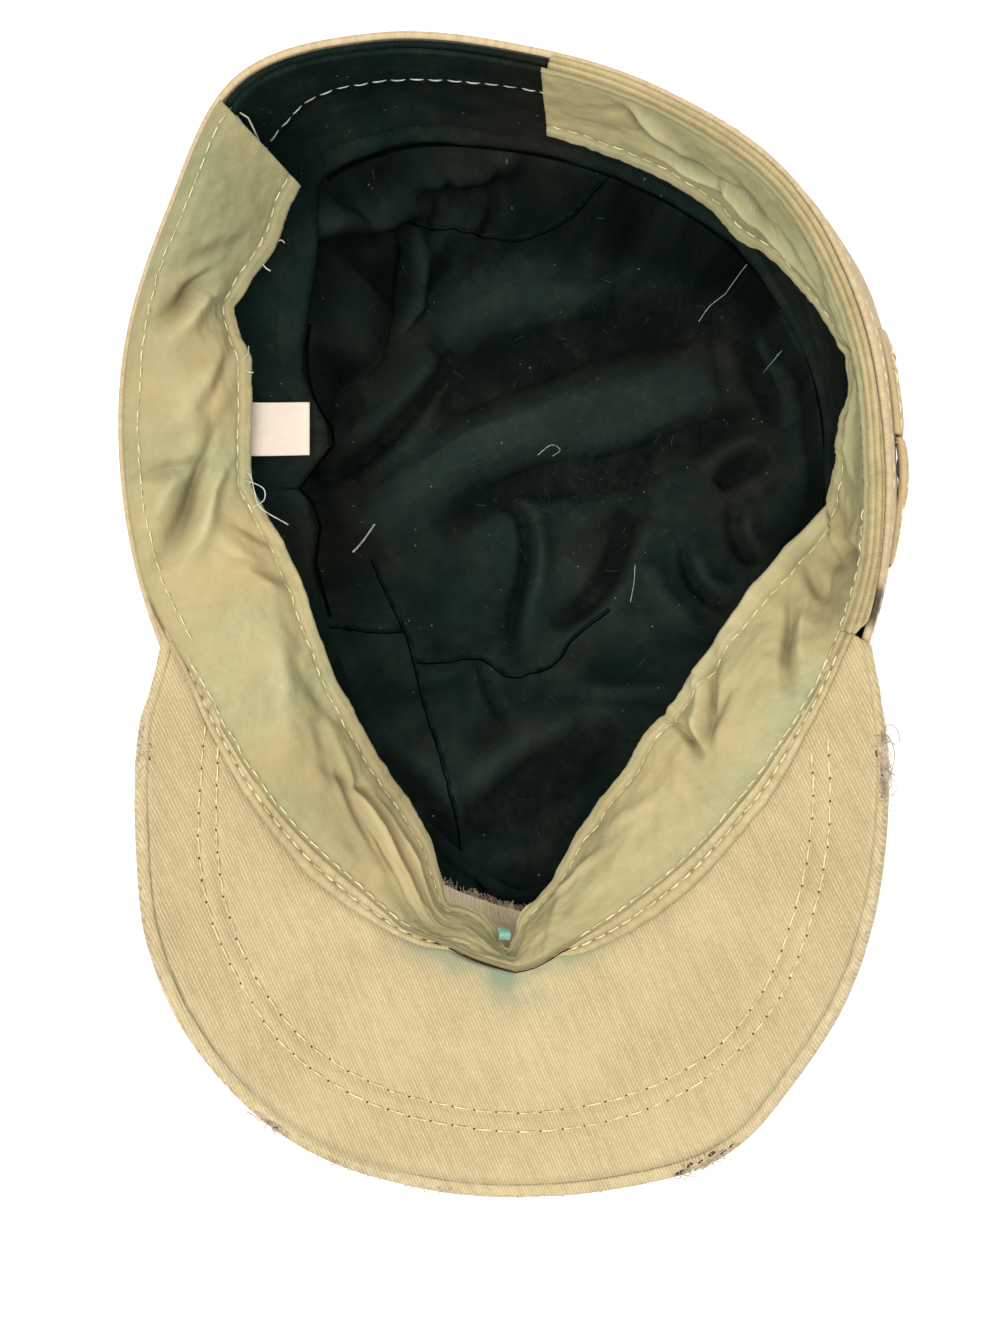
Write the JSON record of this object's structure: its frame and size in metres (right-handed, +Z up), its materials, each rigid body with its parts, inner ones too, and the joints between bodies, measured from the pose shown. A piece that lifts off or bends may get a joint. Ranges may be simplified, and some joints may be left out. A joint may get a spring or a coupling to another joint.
{
  "type": "canvas cap",
  "caption": "Soft canvas cap lying upside down on its flat oval crown, mouth up, with a dark lining, a flopped sweatband and a stiff curved peak with a frayed edge.",
  "frame": {"origin": "centre of the crown top's flat outer face, which rests on the ground", "axes": "+Z up out of the mouth, -Y towards the peak, +X towards the side with the strap"},
  "size_m": [0.1841, 0.2624, 0.102],
  "materials": {
    "shell_canvas": "matt washed canvas",
    "peak_twill": "matt twill with a frayed edge",
    "sweatband_cotton": "soft satin cotton",
    "lining_twill": "dull dark twill",
    "label_tape": "smooth woven tape",
    "snap_plastic": "satin"
  },
  "bodies": {
    "root": {"crown_top": "shell_canvas", "crown_front": "shell_canvas", "crown_side_right": "shell_canvas", "crown_back": "shell_canvas", "crown_side_left": "shell_canvas", "hat_band": "shell_canvas", "lining_band": "lining_twill", "lining_front_right": "lining_twill", "lining_side_right": "lining_twill", "lining_back": "lining_twill", "lining_side_left": "lining_twill", "lining_front_left": "lining_twill", "lining_top": "lining_twill", "back_facing": "lining_twill", "rim_binding": "shell_canvas", "sweatband": "sweatband_cotton", "front_allowance": "shell_canvas", "peak_under": "peak_twill", "peak_upper": "shell_canvas", "peak_edging": "peak_twill", "peak_seam_tape": "peak_twill", "label": "label_tape", "side_tab": "shell_canvas", "side_strap": "shell_canvas", "strap_snap": "snap_plastic"}
  },
  "joints": []
}
